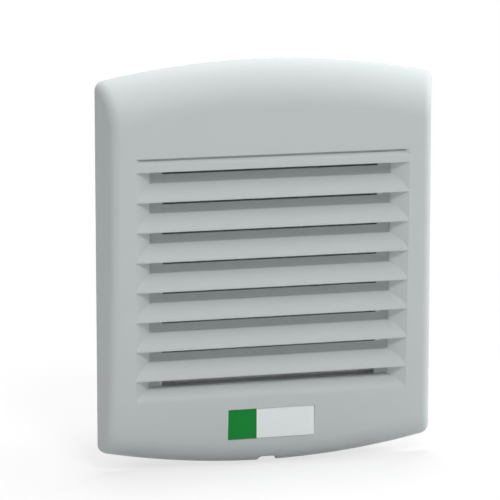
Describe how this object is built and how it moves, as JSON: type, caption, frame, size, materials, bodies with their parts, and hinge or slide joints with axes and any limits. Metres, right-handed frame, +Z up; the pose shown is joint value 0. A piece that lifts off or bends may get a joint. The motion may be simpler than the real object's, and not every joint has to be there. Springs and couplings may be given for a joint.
{
  "type": "panel filter fan",
  "caption": "Panel-mounted filter fan: louvred front grille, filter mat, base frame with collar, axial fan and rear wire guard.",
  "frame": {"origin": "centre of the square panel cut-out, in the plane of the panel's outer face", "axes": "+Z up, +Y from the front into the enclosure, +X to the right seen from the front"},
  "size_m": [0.117, 0.0621, 0.1369],
  "materials": {
    "cover_plastic": "fine satin moulding, light grey",
    "label": "blank plate, green end field and white field",
    "frame_plastic": "satin grey",
    "gasket_foam": "closed-cell foam",
    "filter_fleece": "needled synthetic fleece",
    "spring_steel": "bright spring strip",
    "cast_body": "black e-coated die casting",
    "impeller_plastic": "black moulding",
    "rotor_steel": "deep-drawn steel",
    "cage_aluminium": "cast",
    "bearing_steel": "ground",
    "stator_steel": "laminated",
    "copper_wire": "enamelled winding",
    "guard_steel": "nickel-plated wire",
    "screw_steel": "zinc plated",
    "terminal_plastic": "black moulding",
    "terminal_metal": "tinned brass",
    "lead_brown": "insulation",
    "lead_blue": "insulation"
  },
  "bodies": {
    "base": {"base_frame": "frame_plastic", "fan_housing": "cast_body", "fan_nut_1": "screw_steel", "fan_nut_2": "screw_steel", "fan_nut_3": "screw_steel", "fan_nut_4": "screw_steel", "fan_screw_1": "screw_steel", "fan_screw_2": "screw_steel", "fan_screw_3": "screw_steel", "fan_screw_4": "screw_steel", "filter_mat": "filter_fleece", "finger_guard": "guard_steel", "flange_screw_1": "screw_steel", "flange_screw_2": "screw_steel", "flange_screw_3": "screw_steel", "flange_screw_4": "screw_steel", "front_bearing": "bearing_steel", "guard_nut_1": "screw_steel", "guard_nut_2": "screw_steel", "guard_nut_3": "screw_steel", "guard_nut_4": "screw_steel", "guard_screw_1": "screw_steel", "guard_screw_2": "screw_steel", "guard_screw_3": "screw_steel", "guard_screw_4": "screw_steel", "motor_lead_blue": "lead_blue", "motor_lead_brown": "lead_brown", "panel_clip_left_lower": "spring_steel", "panel_clip_left_upper": "spring_steel", "panel_clip_right_lower": "spring_steel", "panel_clip_right_upper": "spring_steel", "panel_gasket": "gasket_foam", "preload_spring": "spring_steel", "rear_bearing": "bearing_steel", "spade_terminal_live": "terminal_metal", "spade_terminal_neutral": "terminal_metal", "stator_coil_1": "copper_wire", "stator_coil_2": "copper_wire", "stator_coil_3": "copper_wire", "stator_coil_4": "copper_wire", "stator_core": "stator_steel", "terminal_carrier": "terminal_plastic"},
    "cover": {"front_cover": "cover_plastic", "label_plate": "label"},
    "rotor": {"impeller": "impeller_plastic", "rotor_cup": "rotor_steel", "rotor_cage": "cage_aluminium", "shaft": "bearing_steel", "shaft_retaining_clip": "spring_steel"}
  },
  "joints": [
    {"name": "cover_tilt", "type": "hinge", "parent": "base", "child": "cover", "pos_m": [0, -0.0003, 0.0685], "axis": [-1, 0, 0], "range_deg": [0, 60]},
    {"name": "impeller_spin", "type": "hinge", "parent": "base", "child": "rotor", "pos_m": [0, 0.025, 0], "axis": [0, 1, 0], "continuous": true}
  ]
}
